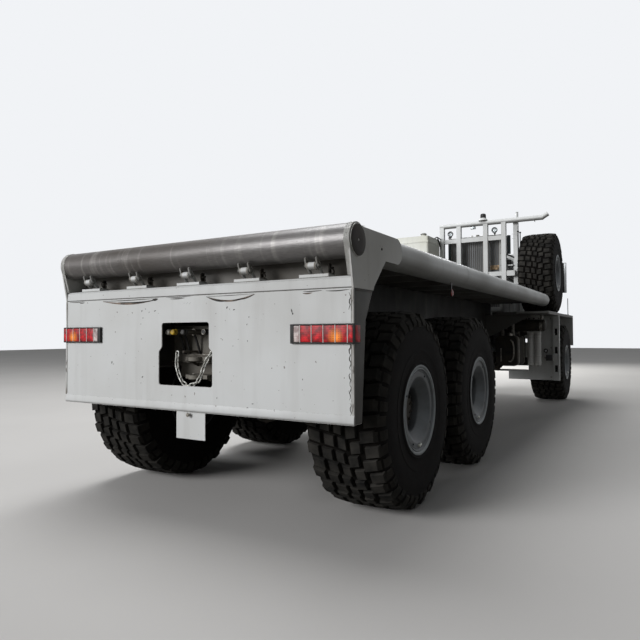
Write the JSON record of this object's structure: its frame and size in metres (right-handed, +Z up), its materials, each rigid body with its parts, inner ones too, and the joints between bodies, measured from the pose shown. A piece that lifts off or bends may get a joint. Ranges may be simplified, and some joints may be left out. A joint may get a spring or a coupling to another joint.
{
  "type": "oilfield flatbed tractor truck",
  "caption": "Heavy all-wheel-drive flatbed tractor truck with a tail roller, round deck rails, a guard frame, an upright spare wheel, a deck winch and a forward-control cab.",
  "frame": {"origin": "on the road below the middle of the truck's overall box", "axes": "+Y forward to the cab, +X to the truck's right, +Z up"},
  "size_m": [3.52, 13.2809, 4.3923],
  "materials": {
    "white_paint": "satin enamel",
    "frame_paint": "dusty chassis black",
    "grey_paint": "satin grey enamel",
    "cream_paint": "satin enamel",
    "bare_steel": "scuffed by ropes and loads",
    "zinc_steel": "zinc plated",
    "cast_metal": "dusty casting",
    "tyre": "dusty black rubber",
    "rim_silver": "silver enamel",
    "lamp_plastic": "moulded lens",
    "dark_trim": "moulded",
    "glass": "clear"
  },
  "bodies": {
    "chassis": {"frame_rails": "frame_paint", "cross_members": "frame_paint", "tail_plate": "white_paint", "tail_side_plates": "white_paint", "tail_beam": "white_paint", "deck_rails": "white_paint", "deck": "frame_paint", "tail_lamps": "lamp_plastic", "tow_coupling": "grey_paint", "safety_chain": "zinc_steel", "guard_frame": "white_paint", "spare_carrier": "white_paint", "guard_lamps": "lamp_plastic", "radiator": "grey_paint", "engine_hood": "white_paint", "power_block": "cast_metal", "deck_tank": "cream_paint", "winch_frame": "white_paint", "platforms": "white_paint", "arch_panels": "white_paint", "side_tanks": "grey_paint", "leaf_springs": "frame_paint", "propshafts": "frame_paint", "cab_glass": "glass", "cab_interior": "dark_trim", "bumper": "white_paint", "front_lamps": "lamp_plastic", "front_grille": "grey_paint", "mirrors": "dark_trim", "spare_tyre": "tyre", "spare_rim": "rim_silver", "axle_housings": "cast_metal", "cab_roof": "white_paint", "cab_floor": "white_paint", "cab_front": "white_paint", "cab_back": "white_paint", "cab_sides": "white_paint"},
    "tail_roller": {"tail_roller": "bare_steel"},
    "winch_drum": {"winch_drum": "bare_steel"},
    "tie_rod": {"tie_rod": "frame_paint"},
    "knuckle_left": {"knuckle_left": "cast_metal"},
    "door_left": {"door_left": "white_paint", "door_glass_left": "glass"},
    "wheel_rear_left": {"tyre_rear_left": "tyre", "rim_rear_left": "rim_silver"},
    "wheel_middle_left": {"tyre_middle_left": "tyre", "rim_middle_left": "rim_silver"},
    "wheel_front_left": {"tyre_front_left": "tyre", "rim_front_left": "rim_silver"},
    "knuckle_right": {"knuckle_right": "cast_metal"},
    "door_right": {"door_right": "white_paint", "door_glass_right": "glass"},
    "wheel_rear_right": {"tyre_rear_right": "tyre", "rim_rear_right": "rim_silver"},
    "wheel_middle_right": {"tyre_middle_right": "tyre", "rim_middle_right": "rim_silver"},
    "wheel_front_right": {"tyre_front_right": "tyre", "rim_front_right": "rim_silver"}
  },
  "joints": [
    {"name": "steer_left", "type": "hinge", "parent": "chassis", "child": "knuckle_left", "pos_m": [-0.96, 4.8005, 0.92], "axis": [0, 0, 1], "range_deg": [-28, 28]},
    {"name": "spin_rear_left", "type": "hinge", "parent": "chassis", "child": "wheel_rear_left", "pos_m": [-1.384, -5.3335, 0.92], "axis": [1, 0, 0], "continuous": true},
    {"name": "spin_middle_left", "type": "hinge", "parent": "chassis", "child": "wheel_middle_left", "pos_m": [-1.384, -3.2545, 0.92], "axis": [1, 0, 0], "continuous": true},
    {"name": "spin_front_left", "type": "hinge", "parent": "knuckle_left", "child": "wheel_front_left", "pos_m": [-1.384, 4.8005, 0.92], "axis": [1, 0, 0], "continuous": true},
    {"name": "door_hinge_left", "type": "hinge", "parent": "chassis", "child": "door_left", "pos_m": [-1.272, 5.8945, 2.5], "axis": [0, 0, -1], "range_deg": [0, 70]},
    {"name": "steer_right", "type": "hinge", "parent": "chassis", "child": "knuckle_right", "pos_m": [0.96, 4.8005, 0.92], "axis": [0, 0, 1], "range_deg": [-28, 28]},
    {"name": "spin_rear_right", "type": "hinge", "parent": "chassis", "child": "wheel_rear_right", "pos_m": [1.384, -5.3335, 0.92], "axis": [1, 0, 0], "continuous": true},
    {"name": "spin_middle_right", "type": "hinge", "parent": "chassis", "child": "wheel_middle_right", "pos_m": [1.384, -3.2545, 0.92], "axis": [1, 0, 0], "continuous": true},
    {"name": "spin_front_right", "type": "hinge", "parent": "knuckle_right", "child": "wheel_front_right", "pos_m": [1.384, 4.8005, 0.92], "axis": [1, 0, 0], "continuous": true},
    {"name": "door_hinge_right", "type": "hinge", "parent": "chassis", "child": "door_right", "pos_m": [1.272, 5.8945, 2.5], "axis": [0, 0, 1], "range_deg": [0, 70]},
    {"name": "tie_rod_pivot", "type": "hinge", "parent": "knuckle_left", "child": "tie_rod", "pos_m": [-0.96, 4.4705, 0.71], "axis": [0, 0, 1], "range_deg": [-28, 28]},
    {"name": "roller_spin", "type": "hinge", "parent": "chassis", "child": "tail_roller", "pos_m": [0, -6.5025, 2.3465], "axis": [1, 0, 0], "continuous": true},
    {"name": "winch_spin", "type": "hinge", "parent": "chassis", "child": "winch_drum", "pos_m": [0, 1.6795, 2.655], "axis": [1, 0, 0], "continuous": true}
  ],
  "couplings": [
    {"joint": "steer_right", "follows": "steer_left", "ratio": 1},
    {"joint": "tie_rod_pivot", "follows": "steer_left", "ratio": -1}
  ]
}
